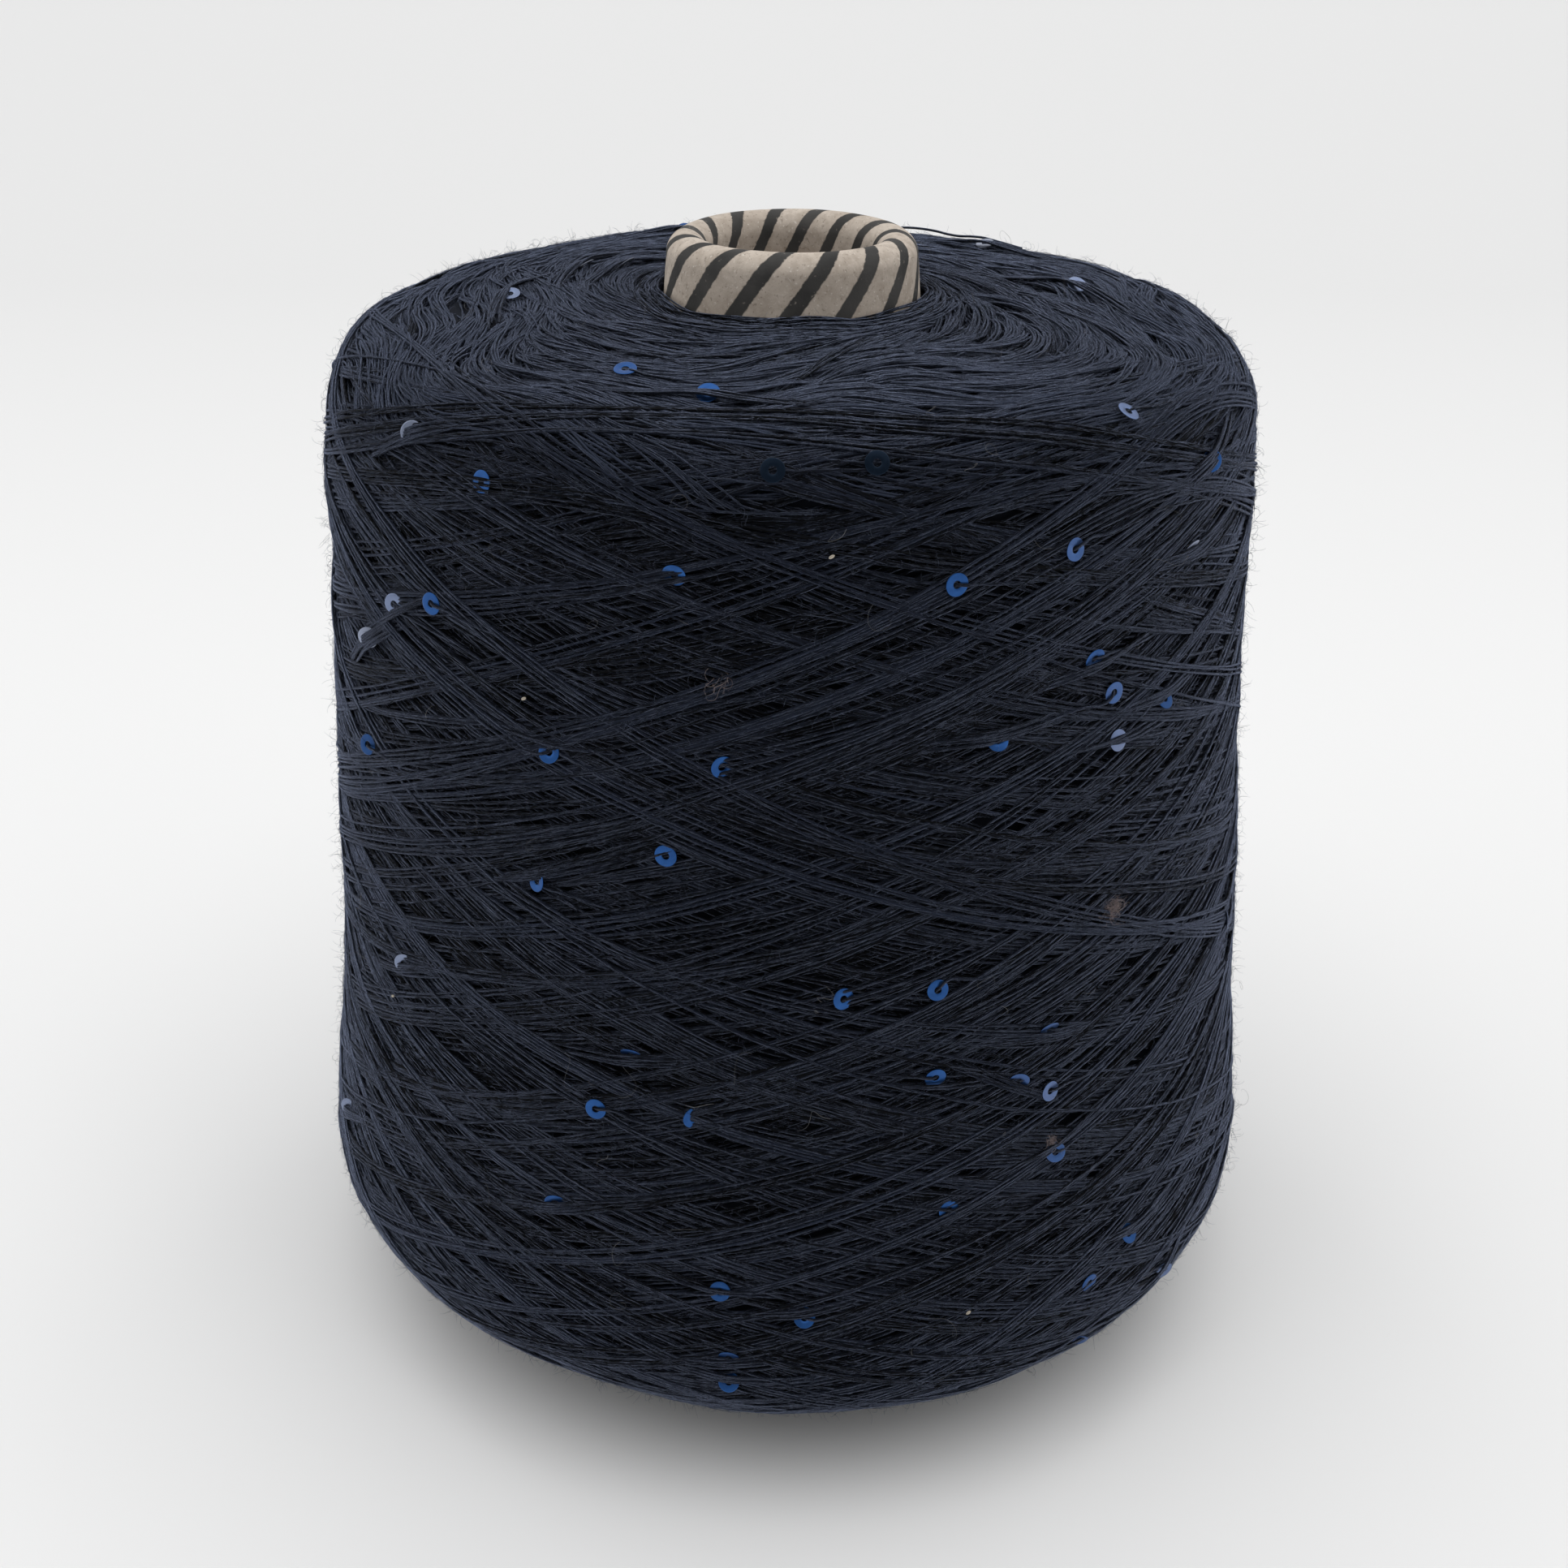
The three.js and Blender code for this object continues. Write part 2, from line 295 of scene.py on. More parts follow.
def tubes(points, out, radius, sides=6):
    """Points and faces of many tubes at once, each along its own row of points, with an even side count."""
    count, steps = points.shape[:2]
    run = np.gradient(points, axis=1)
    run /= np.linalg.norm(run, axis=2, keepdims=True) + 1e-12
    aside = np.cross(run, out)
    aside /= np.linalg.norm(aside, axis=2, keepdims=True) + 1e-12
    up = np.cross(aside, run)
    turn = np.arange(sides) * 2 * math.pi / sides
    size = np.broadcast_to(radius, (count, steps))[:, :, None, None]
    ring = np.cos(turn)[:, None] * up[:, :, None] + np.sin(turn)[:, None] * aside[:, :, None]
    skin = points[:, :, None] + size * ring
    step, side = np.meshgrid(np.arange(steps - 1), np.arange(sides), indexing="ij")
    beside = (side + 1) % sides
    wall = np.stack([step * sides + side, (step + 1) * sides + side,
                     (step + 1) * sides + beside, step * sides + beside], -1).reshape(-1, 4)
    last = (steps - 1) * sides
    caps = [[0, i, i + 1, i + 2] for i in range(1, sides - 1, 2)]
    caps += [[last, last + i + 2, last + i + 1, last + i] for i in range(1, sides - 1, 2)]
    one = np.vstack([wall, caps])
    faces = one[None] + (np.arange(count) * steps * sides)[:, None, None]
    # Each tube slit and laid flat: how far along it and how far round it every corner of every face is.
    far = (step[:, :, None] + np.array([0, 1, 1, 0])).reshape(-1) / (steps - 1)
    round_it = (side[:, :, None] + np.array([0, 0, 1, 1])).reshape(-1) / sides
    flat = np.stack([far, round_it], 1)
    flat = np.vstack([flat, np.zeros((len(caps) * 4, 2))])
    return skin.reshape(-1, 3), faces.reshape(-1, 4), turn, flat


def yarn_piece(name, groups, material, stands_for="yarn_package", sides=6):
    """One piece from groups of (points, out, radius, tone), with what the yarn's material reads."""
    skins, faces, tones, lies, outs, flats, start = [], [], [], [], [], [], 0
    total = sum(len(group[0]) for group in groups)
    done = 0
    for points, out, radius, tone in groups:
        skin, face, turn, flat = tubes(points, out, radius, sides)
        count, steps = points.shape[:2]
        rows = (done + np.arange(count))[:, None]
        flats.append(np.stack([np.broadcast_to(flat[:, 0], (count, len(flat))),
                               (rows + 0.9 * flat[:, 1]) / total], -1).reshape(-1, 2))
        done += count
        far = np.cumsum(np.linalg.norm(np.diff(points, axis=1, prepend=points[:, :1]), axis=2), axis=1)
        shape = (count, steps, sides)
        lie = np.stack([np.broadcast_to(far[:, :, None] / MM, shape),
                        np.broadcast_to(np.cos(turn), shape) + 7 * np.arange(count)[:, None, None],
                        np.broadcast_to(np.sin(turn), shape)], -1)
        skins.append(skin)
        faces.append(face + start)
        tones.append(np.broadcast_to(np.asarray(tone)[:, None, None], shape).ravel())
        lies.append(lie.reshape(-1, 3))
        outs.append(np.broadcast_to(out[:, :, None], (*shape, 3)).reshape(-1, 3))
        start += len(skin)
    piece = mesh_of(name, np.vstack(skins), np.vstack(faces), material)
    tone_layer = piece.data.attributes.new("tone", "FLOAT", "POINT")
    tone_layer.data.foreach_set("value", np.concatenate(tones).astype(np.float32))
    lie_layer = piece.data.attributes.new("lie", "FLOAT_VECTOR", "POINT")
    lie_layer.data.foreach_set("vector", np.vstack(lies).astype(np.float32).ravel())
    out_layer = piece.data.attributes.new("out", "FLOAT_VECTOR", "POINT")
    out_layer.data.foreach_set("vector", np.vstack(outs).astype(np.float32).ravel())
    # Flat layout for the baked colours: one strip for each strand.
    strips = piece.data.uv_layers.new(name="OFBake")
    strips.data.foreach_set("uv", np.vstack(flats).astype(np.float32).ravel())
    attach(piece, "root")
    if stands_for:
        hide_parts(stands_for)
    return piece


def yarn_material(name, dark, light, sheen):
    """Soft spun yarn: pale and dark fibres side by side along the strand, and a nap that catches light."""
    material, tree, shader, add = blank_material(name)
    tone = add("ShaderNodeAttribute", attribute_name="tone").outputs["Fac"]
    lie = add("ShaderNodeAttribute", attribute_name="lie").outputs["Vector"]
    coarse = add("ShaderNodeVectorMath", {0: lie, 1: (0.7, 1.8, 1.8)}, operation="MULTIPLY").outputs[0]
    streak = add("ShaderNodeTexNoise", {"Vector": coarse, "Scale": 1, "Detail": 3, "Roughness": 0.75})
    fine = add("ShaderNodeVectorMath", {0: lie, 1: (0.45, 5, 5)}, operation="MULTIPLY").outputs[0]
    hair = add("ShaderNodeTexNoise", {"Vector": fine, "Scale": 1, "Detail": 1})
    hair = add("ShaderNodeMapRange", {"Value": hair.outputs["Fac"], 1: 0.55, 2: 0.7, 3: 0, 4: 0.9})
    share = add("ShaderNodeMath", {0: streak.outputs["Fac"], 1: 2.6, 2: -1.1}, operation="MULTIPLY_ADD")
    share = add("ShaderNodeMath", {0: share.outputs[0], 1: hair.outputs[0]}, operation="ADD")
    share = add("ShaderNodeMath", {0: share.outputs[0], 1: tone}, operation="ADD", use_clamp=True)
    colour = add("ShaderNodeMix", {"Factor": share.outputs[0], 6: dark, 7: light}, data_type="RGBA")
    tree.links.new(colour.outputs[2], shader.inputs["Base Color"])
    shader.inputs["Roughness"].default_value = 0.8
    shader.inputs["Specular IOR Level"].default_value = 0.08
    shader.inputs["Sheen Weight"].default_value = sheen
    shader.inputs["Sheen Roughness"].default_value = 0.22
    shader.inputs["Sheen Tint"].default_value = (0.6, 0.7, 1, 1)
    # The nap lies over the whole package, so light falls off round the package as well as round a strand.
    round_normal = add("ShaderNodeNewGeometry").outputs["Normal"]
    package_normal = add("ShaderNodeAttribute", attribute_name="out").outputs["Vector"]
    normal = add("ShaderNodeMix", {"Factor": 0.62, 4: round_normal, 5: package_normal}, data_type="VECTOR")
    normal = add("ShaderNodeVectorMath", {0: normal.outputs[1]}, operation="NORMALIZE")
    bump = add("ShaderNodeBump", {"Strength": 1, "Distance": 0.05 * MM, "Height": share.outputs[0],
                                  "Normal": normal.outputs[0]})
    tree.links.new(bump.outputs["Normal"], shader.inputs["Normal"])
    return material


navy_yarn = yarn_material("navy_yarn", (0.0008, 0.0011, 0.002, 1), (0.018, 0.0235, 0.041, 1), 1)
fly_yarn = yarn_material("fly_yarn", (0.008, 0.01, 0.016, 1), (0.08, 0.094, 0.13, 1), 0.9)


def wander(count, steps, size, waves):
    """Smooth random wavering, (count, steps), of about the given size, with that many waves or fewer."""
    at = np.linspace(0, 1, steps)
    total = np.zeros((count, steps))
    for wave in range(1, 5):
        speed = waves * wave / 4 * random.uniform(0.7, 1.3, (count, 1))
        total += np.sin(2 * math.pi * (speed * at + random.random((count, 1)))) / wave ** 0.5
    return total * size / 1.6


MEAN_RADIUS = 71 * MM
RIBBON_STEP = 3.2 * MM
CLIMB = math.radians(16)
TURN_SHARPNESS = 0.988


def side_ribbon(level, strands):
    """A ribbon of turns: up the side, back at the shoulder and down again, nested strand beside strand."""
    turns = random.uniform(1.5, 2.9)
    top = shoulder_start + random.uniform(-4, 16) * MM
    bottom = edge_start + random.uniform(4, 26) * MM
    steps = int(turns * 2 * math.pi * MEAN_RADIUS / RIBBON_STEP)
    start = random.uniform(0, 2 * math.pi)
    phase = np.linspace(-math.pi / 2, 3 * math.pi / 2, steps)
    climb = np.arcsin(TURN_SHARPNESS * np.sin(phase)) / math.asin(TURN_SHARPNESS)
    way = random.choice([-1, 1])
    azimuth = start + way * turns * (phase + math.pi / 2)
    length = (top + bottom) / 2 - climb * (bottom - top) / 2
    gaps = np.cumsum(random.uniform(1.02, 1.55, strands) + (random.random(strands) < 0.2) * 1.6)
    place = (gaps - gaps.mean())[:, None]
    spread = 1 + 0.35 * wander(1, steps, 1, turns * 5)
    length = length + place * YARN * spread / math.cos(CLIMB)
    length = length + wander(1, steps, 0.6 * MM, turns * 5) + wander(strands, steps, 0.13 * MM, turns * 22)
    depth = YARN / 2 + level * LEVEL_DROP + wander(strands, steps, 0.07 * MM, turns * 20)
    points, out = on_package(np.broadcast_to(azimuth, length.shape), length, depth)
    thick = random.uniform(0.8, 1.15, (strands, 1))
    radius = YARN / 2 * thick * (1 + 0.12 * wander(strands, steps, 1, turns * 40))
    tone = random.uniform(-0.2, 0.25) + random.uniform(-0.3, 0.3, strands)
    # Each level down is painted darker: painted shade between the turns.
    return points, out, radius, tone - 0.06 * level


MOST_FACES = 95000


def in_pieces(name, groups, material, sides=6):
    """Yarn pieces of a handy size, numbered, from any number of groups."""
    batch, faces, number = [], 0, 1
    for group in groups:
        size = group[0].shape[0] * group[0].shape[1] * sides
        if batch and faces + size > MOST_FACES:
            yarn_piece(f"{name}_{number:02d}", batch, material, sides=sides)
            batch, faces, number = [], 0, number + 1
        batch.append(group)
        faces += size
    yarn_piece(f"{name}_{number:02d}", batch, material, sides=sides)


def fly(group, share, reach):
    """Short hairs that have worked loose from a ribbon's strands and lie along them."""
    points, out = group[:2]
    strands, steps = points.shape[:2]
    count = max(1, int(strands * steps * share))
    strand = random.integers(0, strands, count)[:, None]
    at = random.uniform(0, steps - 3.2, count)[:, None]
    at = at + random.uniform(0.3, 1.9, count)[:, None] * FLY_STEPS
    first = at.astype(int)
    part = (at - first)[:, :, None]
    line = points[strand, first] * (1 - part) + points[strand, first + 1] * part
    away = out[strand, first]
    along = line[:, -1] - line[:, 0]
    along /= np.linalg.norm(along, axis=1)[:, None]
    aside = np.cross(along, away[:, 0])[:, None]
    lean = random.uniform(-1, 1, (count, 1)) * reach
    lean = lean + random.uniform(-0.5, 0.5, (count, 1)) * reach * FLY_STEPS
    lift = YARN * random.uniform(0.35, 0.75, (count, 1))
    lift = lift + random.uniform(-0.5, 1, (count, 1)) * reach * FLY_STEPS
    bow = random.uniform(-1, 1, (count, 1)) * reach * np.sin(FLY_STEPS * math.pi)
    line = line + aside * (lean + bow)[:, :, None] + away * lift[:, :, None]
    return line, away, 0.026 * MM * np.array([1, 1, 0.6]), random.uniform(-0.2, 0.5, count)


FLY_STEPS = np.linspace(0, 1, 3)
LEVEL_DROP = 0.23 * MM
RIBBONS_PER_LEVEL = (12, 18, 24, 28, 30, 30, 30)
FINE_LEVELS = 3
side_layers = (("side_turns", slice(0, FINE_LEVELS), 6), ("under_turns", slice(FINE_LEVELS, None), 4))
for name, levels, sides in side_layers:
    side_groups = []
    for level, ribbons in list(enumerate(RIBBONS_PER_LEVEL))[levels]:
        for _ in range(ribbons):
            side_groups.append(side_ribbon(level, int(random.integers(1, 6))))
    in_pieces(name, side_groups, navy_yarn, sides)
    if name == "side_turns":
        in_pieces("side_fly", [fly(group, 0.38, 0.3 * MM) for group in side_groups], fly_yarn, 4)


BODY_RINGS = 150
BODY_SIDES = 200


def package_body():
    """The body of the package under the turns, seen only between them."""
    lengths = np.linspace(0.2 * MM, outline_length[-1], BODY_RINGS)
    azimuths = np.linspace(0, 2 * math.pi, BODY_SIDES, endpoint=False)
    azimuth, length = np.meshgrid(azimuths, lengths)
    points, _ = on_package(azimuth, length, SKIN_DEPTH)
    return mesh_of("package_body", points.reshape(-1, 3), ring_faces(BODY_RINGS, BODY_SIDES), navy_yarn)


package_core = package_body()
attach(package_core, "root")
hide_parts("yarn_package")


# The crown is the outline's first part, from the nose to where it turns over, and the foot is its last.
CROWN_REACH = 0.873
crown_count = int(np.argmax(outline_points[:, 0] > package_high[0] * CROWN_REACH))
foot_first = int(np.argmax(outline_points[:, 1] < package_low[2] + 6 * MM))
bore_top = outline_points[0, 0]
bore_foot = outline_points[-1, 0]


def crown_length(radius):
    """Lengths down the outline at which the crown has the given radii."""
    return np.interp(radius, outline_points[:crown_count, 0], outline_length[:crown_count])


def foot_length(radius):
    """Lengths down the outline at which the foot has the given radii."""
    return np.interp(radius, outline_points[foot_first:, 0][::-1], outline_length[foot_first:][::-1])


def field_angle(x, y, waves):
    """A smooth field of angles over a flat face, from a few slanting waves."""
    total = 0
    for kx, ky, shift, size in waves:
        total = total + size * np.sin(kx * x + ky * y + shift)
    return total


TUFT_STEPS = 14
TUFT_SPAN = (22, 46)
TUFT_LEAN = 0.17
TUFT_DIVE = 2.2 * MM
CALM_FROM = 44 * MM
CALM_OVER = 20 * MM


def face_tufts(count, radius_from, radius_to, lay_waves, length_of, thick, paler):
    """Turned-back ends of the winding on a flat face: short arcs that rise out of it and dive in again."""
    groups = []
    for _ in range(count):
        strands = int(random.integers(2, 8))
        span = random.uniform(*TUFT_SPAN) * MM
        r = math.sqrt(random.uniform(radius_from ** 2, radius_to ** 2))
        a = random.uniform(0, 2 * math.pi)
        step = span / TUFT_STEPS
        way = random.choice([-1, 1])
        own_lean = random.normal(0, TUFT_LEAN)
        radii, azimuths = [r], [a]
        for _ in range(TUFT_STEPS - 1):
            x = radii[-1] * math.sin(azimuths[-1])
            y = -radii[-1] * math.cos(azimuths[-1])
            # The lay evens out towards the shoulder.
            calm = 1 - 0.55 * np.clip((radii[-1] - CALM_FROM) / CALM_OVER, 0, 1)
            lean = (field_angle(x, y, lay_waves) + own_lean) * calm
            radii.append(radii[-1] + way * step * math.sin(lean))
            azimuths.append(azimuths[-1] + way * step * math.cos(lean) / max(radii[-1], radius_from))
        place = (np.arange(strands) - (strands - 1) / 2)[:, None]
        radii = np.array(radii) + place * thick * random.uniform(1, 1.8)
        radii = radii + wander(strands, TUFT_STEPS, 0.35 * MM, 2.5)
        radii = np.maximum(radii, radius_from)
        middle = np.linspace(-1, 1, TUFT_STEPS)
        level = random.uniform(0, 1) ** 1.1 * 1.7 * MM
        depth = YARN / 2 + level + TUFT_DIVE * np.abs(middle) ** 2.6
        depth = depth + wander(strands, TUFT_STEPS, 0.12 * MM, 3)
        points, out = on_package(np.broadcast_to(azimuths, radii.shape), length_of(radii), depth)
        radius = thick / 2 * (1 + 0.15 * wander(strands, TUFT_STEPS, 1, 6))
        # Painted light and shade: lighter towards the shoulder, darker towards the nose, and darker the
        # deeper a tuft lies.
        radial_painted_light = 0.5 * (r - 45 * MM) / (30 * MM)
        tone = paler + radial_painted_light + random.uniform(-0.25, 0.3) + random.uniform(-0.2, 0.2, strands)
        groups.append((points, out, radius, tone - 0.16 * level / MM))
    return groups


# Waves in the lay of the tufts: how fast each turns across and along, its shift, and its size in radians.
swirl = [
    (0.09 / MM, 0.05 / MM, 1.0, 0.32),
    (-0.06 / MM, 0.12 / MM, 2.2, 0.3),
    (0.16 / MM, -0.1 / MM, 0.4, 0.26),
    (0.03 / MM, 0.02 / MM, 4.0, 0.18),
]
# The crown's yarn is a lighter copy of the navy yarn, and its tufts get a higher tone (0.32): painted light
# on the top face.
crown_yarn_painted_light = yarn_material("crown_yarn_painted_light", (0.0008, 0.0011, 0.002, 1), (0.032, 0.04, 0.064, 1), 1)
crown_groups = face_tufts(1500, bore_top + 0.6 * MM, 66 * MM, swirl, crown_length, 0.29 * MM, 0.32)
in_pieces("crown_turns", crown_groups, crown_yarn_painted_light, 4)
in_pieces("crown_fly", [fly(group, 0.32, 0.35 * MM) for group in crown_groups], fly_yarn, 4)
foot_groups = face_tufts(460, bore_foot + 0.6 * MM, 72 * MM, swirl, foot_length, 0.34 * MM, 0)
in_pieces("foot_turns", foot_groups, navy_yarn, 4)


def collar(count):
    """Turns that ride up a little against the paper where the package meets the nose."""
    groups = []
    for _ in range(count):
        steps = 24
        inwards = random.random() ** 1.5
        azimuth = random.uniform(0, 2 * math.pi) + np.linspace(0, random.uniform(0.4, 1.9), steps)
        radii = bore_top + (0.25 + 3.6 * inwards) * MM + wander(1, steps, 0.5 * MM, 2)
        radii = np.maximum(radii, bore_top + 0.2 * MM)
        rise = (1 - inwards) * random.uniform(0.3, 1.25) * MM * np.sin(np.linspace(0, math.pi, steps)) ** 0.5
        points, out = on_package(azimuth[None], crown_length(radii), 0.3 * MM - rise[None])
        # Their tone is mostly darker than the other turns: painted shade beside the nose.
        groups.append((points, out, 0.15 * MM, [random.uniform(-0.55, 0.1)]))
    return groups


in_pieces("nose_turns", collar(150), navy_yarn, 4)

# ---------------------------------------------------------------------------------------------------------
# Fuzz: loose ends of the yarn's own fibres, a millimetre or two long and a few hundredths thick, that stand
# off the turns in every direction, and some paler, longer stray hairs that have settled on the package.
def fibres(count, length_range, thick, curl, lift, steps, places):
    """A group of fine curling tubes. places gives azimuths and lengths down the outline for their roots."""
    azimuth, length = places(count)
    roots, out = on_package(azimuth, length, 0.1 * MM)
    around = np.stack([np.cos(azimuth), np.sin(azimuth), np.zeros(count)], 1)
    down = np.cross(around, out)
    turn = random.uniform(0, 2 * math.pi, count)[:, None]
    flat = np.cos(turn) * around + np.sin(turn) * 0.7 * down
    rise = random.uniform(*lift, count)[:, None]
    heading = flat * np.cos(rise) + out * np.sin(rise)
    size = random.uniform(*length_range, count)[:, None] * MM
    axis = random.normal(0, 1, (count, 3))
    points = [roots]
    for _ in range(steps - 1):
        axis += random.normal(0, 0.5, (count, 3))
        heading = heading + np.cross(axis, heading) * curl
        heading /= np.linalg.norm(heading, axis=1)[:, None]
        points.append(points[-1] + heading * size / (steps - 1))
    points = np.stack(points, 1)
    taper = np.linspace(1, 0.5, steps) * thick / 2 * MM
    ways_out = np.broadcast_to(out[:, None], points.shape)
    return points, ways_out, taper, random.uniform(-0.3, 0.5, count)


def all_over(count):
    """Roots spread evenly over the top, side and bottom of the package."""
    weight = np.cumsum(outline_points[:, 0])
    length = np.interp(random.random(count) * weight[-1], weight, outline_length)
    return random.uniform(-math.pi, math.pi, count), length


pale_hair = yarn_material("pale_hair", (0.12, 0.12, 0.125, 1), (0.5, 0.49, 0.48, 1), 0.2)
for number in range(1, 9):
    short = fibres(2600, (0.7, 2.6), 0.04, 0.3, (-0.1, 1.2), 5, all_over)
    yarn_piece(f"fuzz_{number:02d}", [short], fly_yarn, sides=4)
long_hairs = fibres(260, (2, 8), 0.045, 0.2, (-0.1, 0.5), 14, all_over)
yarn_piece("stray_hairs", [long_hairs], pale_hair, sides=4)

# ---------------------------------------------------------------------------------------------------------
# Lint and chaff: a pinkish tuft of lint half way up the front at the right, a smaller one below it, some long
# fibres of it near the shoulder, and four pale grains of plant stalk, all caught in the turns.
SIDE_RADIUS = 0.075


def at_place(azimuth, share, spread):
    """Roots scattered round one place, given in degrees and as a share of the package height."""
    height = package_low[2] + share * package_height
    side_points = outline_points[crown_count:foot_first]
    length = outline_length[crown_count + int(np.argmin(np.abs(side_points[:, 1] - height)))]

    def places(count):
        around = math.radians(azimuth) + random.normal(0, spread * MM / SIDE_RADIUS, count)
        return around, length + random.normal(0, spread * MM, count)

    return places


lint = yarn_material("pink_lint", (0.3, 0.23, 0.22, 1), (0.68, 0.57, 0.55, 1), 0.3)
tufts = [fibres(130, (1.2, 3.4), 0.04, 0.5, (-0.2, 0.7), 8, at_place(39, 0.54, 0.75)),
         fibres(50, (0.8, 2.4), 0.04, 0.55, (-0.2, 0.6), 8, at_place(30.5, 0.325, 0.35)),
         fibres(14, (3, 6), 0.04, 0.35, (-0.2, 0.3), 12, at_place(-7, 0.79, 0.9))]
yarn_piece("lint", tufts, lint, sides=4)


def grains(places, size):
    """Small blunt grains lying flat on the yarn."""
    groups = []
    for azimuth, share in places:
        around, length = at_place(azimuth, share, 0.1)(1)
        root, out = on_package(around, length, -0.12 * MM)
        tangent = np.array([math.cos(math.radians(azimuth)), math.sin(math.radians(azimuth)), 0.6])
        line = root + np.linspace(-0.5, 0.5, 7)[:, None] * size * MM * tangent
        radius = np.sqrt(1.02 - np.linspace(-1, 1, 7) ** 2) * size * 0.3 * MM
        groups.append((line[None], np.broadcast_to(out, (1, 7, 3)), radius, [0.6]))
    return groups


chaff = yarn_material("chaff", (0.2, 0.16, 0.11, 1), (0.55, 0.5, 0.42, 1), 0)
yarn_piece("chaff_grains", grains(((-29, 0.755), (4, 0.9), (-52, 0.4), (20, 0.17)), 0.7), chaff, sides=8)

# ---------------------------------------------------------------------------------------------------------
# The slack strand: a few centimetres of the same yarn that have slipped off the crown. It comes out of the
# package behind the nose, stands off the yarn in two low arches, and goes back into the package.

# Its route: degrees round from the front, and in mm its distance in from the shoulder and the height of its
# underside above the yarn.
SLACK_STRAND = (
    (178, 11.5, 0.4), (174, 10.8, 0.35), (170, 10.1, 0.35), (166, 9.5, 0.4), (163, 9.1, 0.6),
    (160.5, 8.8, 0.85), (158, 8.6, 0.9), (155.5, 8.5, 0.75), (153.5, 8.4, 0.5), (151.5, 8.4, 0.45),
    (149.5, 8.4, 0.65), (147.5, 8.4, 0.75), (145.5, 8.4, 0.6), (143, 8.3, 0.35), (140, 8.2, 0.35),
)
SLACK_YARN = 0.4 * MM
SHOULDER_RADIUS = 67.6 * MM


def through(points, steps):
    """A smooth line of steps points through a few points, as a Catmull-Rom spline."""
    ends = np.vstack([2 * points[0] - points[1], points, 2 * points[-1] - points[-2]])
    at = np.linspace(0, len(points) - 1.0001, steps)
    first = at.astype(int)
    t = (at - first)[:, None]
    a, b, c, d = (ends[first + i] for i in range(4))
    bend = (2 * a - 5 * b + 4 * c - d) * t ** 2
    return (2 * b + (c - a) * t + bend + (3 * b - a - 3 * c + d) * t ** 3) / 2


def slack_strand():
    """The strand along its route, laid 0.3 mm nearer the yarn, and its two ends as much deeper again."""
    azimuth, inwards, under = np.array(SLACK_STRAND).T
    radius = SHOULDER_RADIUS - inwards * MM
    height = (under - 0.3) * MM + SLACK_YARN / 2
    height[[0, -1]] -= 0.3 * MM
    route, out = on_package(np.radians(azimuth), crown_length(radius), -height)
    line = through(route, 90)
    group = (line[None], through(out, 90)[None], SLACK_YARN / 2, [0.2])
    piece = yarn_piece("slack_yarn", [group], navy_yarn, stands_for="slack_strand", sides=8)


slack_strand()

# ---------------------------------------------------------------------------------------------------------
# The sequins: 3 mm rings punched from blue film with a metallic face, each threaded on the yarn through its
# hole, so that its own strand always crosses one side of the rim.
def film_material():
    """Dyed metallised film: blue face, painted paler for a glint or darker for a dark reflection, and faint
    scuffs.
    """
    material, tree, shader, add = blank_material("sequin_film")
    place = add("ShaderNodeTexCoord").outputs["Object"]
    # This attribute paints light: above zero a grey-white glint, below zero a dark reflection.
    painted_glint_and_shade = add("ShaderNodeAttribute", attribute_name="painted_glint_and_shade").outputs["Fac"]
    cloud = add("ShaderNodeTexNoise", {"Vector": place, "Scale": 700, "Detail": 3})
    scuff = add("ShaderNodeTexNoise", {"Vector": place, "Scale": 2600, "Detail": 3})
    blue = add("ShaderNodeMix", {"Factor": cloud.outputs["Fac"], 6: (0.0095, 0.045, 0.165, 1),
                                 7: (0.023, 0.105, 0.33, 1)}, data_type="RGBA")
    pale = add("ShaderNodeMapRange", {"Value": painted_glint_and_shade, 1: 0, 2: 1, 3: 0, 4: 1})
    light = add("ShaderNodeMix", {"Factor": pale.outputs[0], 6: blue.outputs[2],
                                  7: (0.34, 0.37, 0.45, 1)}, data_type="RGBA")
    deep = add("ShaderNodeMapRange", {"Value": painted_glint_and_shade, 1: 0, 2: -1, 3: 0, 4: 1})
    colour = add("ShaderNodeMix", {"Factor": deep.outputs[0], 6: light.outputs[2],
                                   7: (0.0028, 0.01, 0.023, 1)}, data_type="RGBA")
    tree.links.new(colour.outputs[2], shader.inputs["Base Color"])
    rough = add("ShaderNodeMapRange", {"Value": scuff.outputs["Fac"], 1: 0.3, 2: 0.7, 3: 0.28, 4: 0.45})
    tree.links.new(rough.outputs[0], shader.inputs["Roughness"])
    bump = add("ShaderNodeBump", {"Strength": 0.15, "Distance": 0.02 * MM, "Height": scuff.outputs["Fac"]})
    tree.links.new(bump.outputs["Normal"], shader.inputs["Normal"])
    shader.inputs["Metallic"].default_value = 0.8
    return material


sequin_film = film_material()
SEQUIN_PROFILE = ((0.5, 0.02), (0.56, 0.05), (0.9, 0.045), (1.36, 0.05), (1.47, 0.035), (1.5, 0),
                  (1.47, -0.035), (1.36, -0.05), (0.9, -0.045), (0.56, -0.05), (0.5, -0.02))
SEQUIN_SIDES = 40
SEQUIN_WIDTH = 3
TOP_SEQUINS = 11
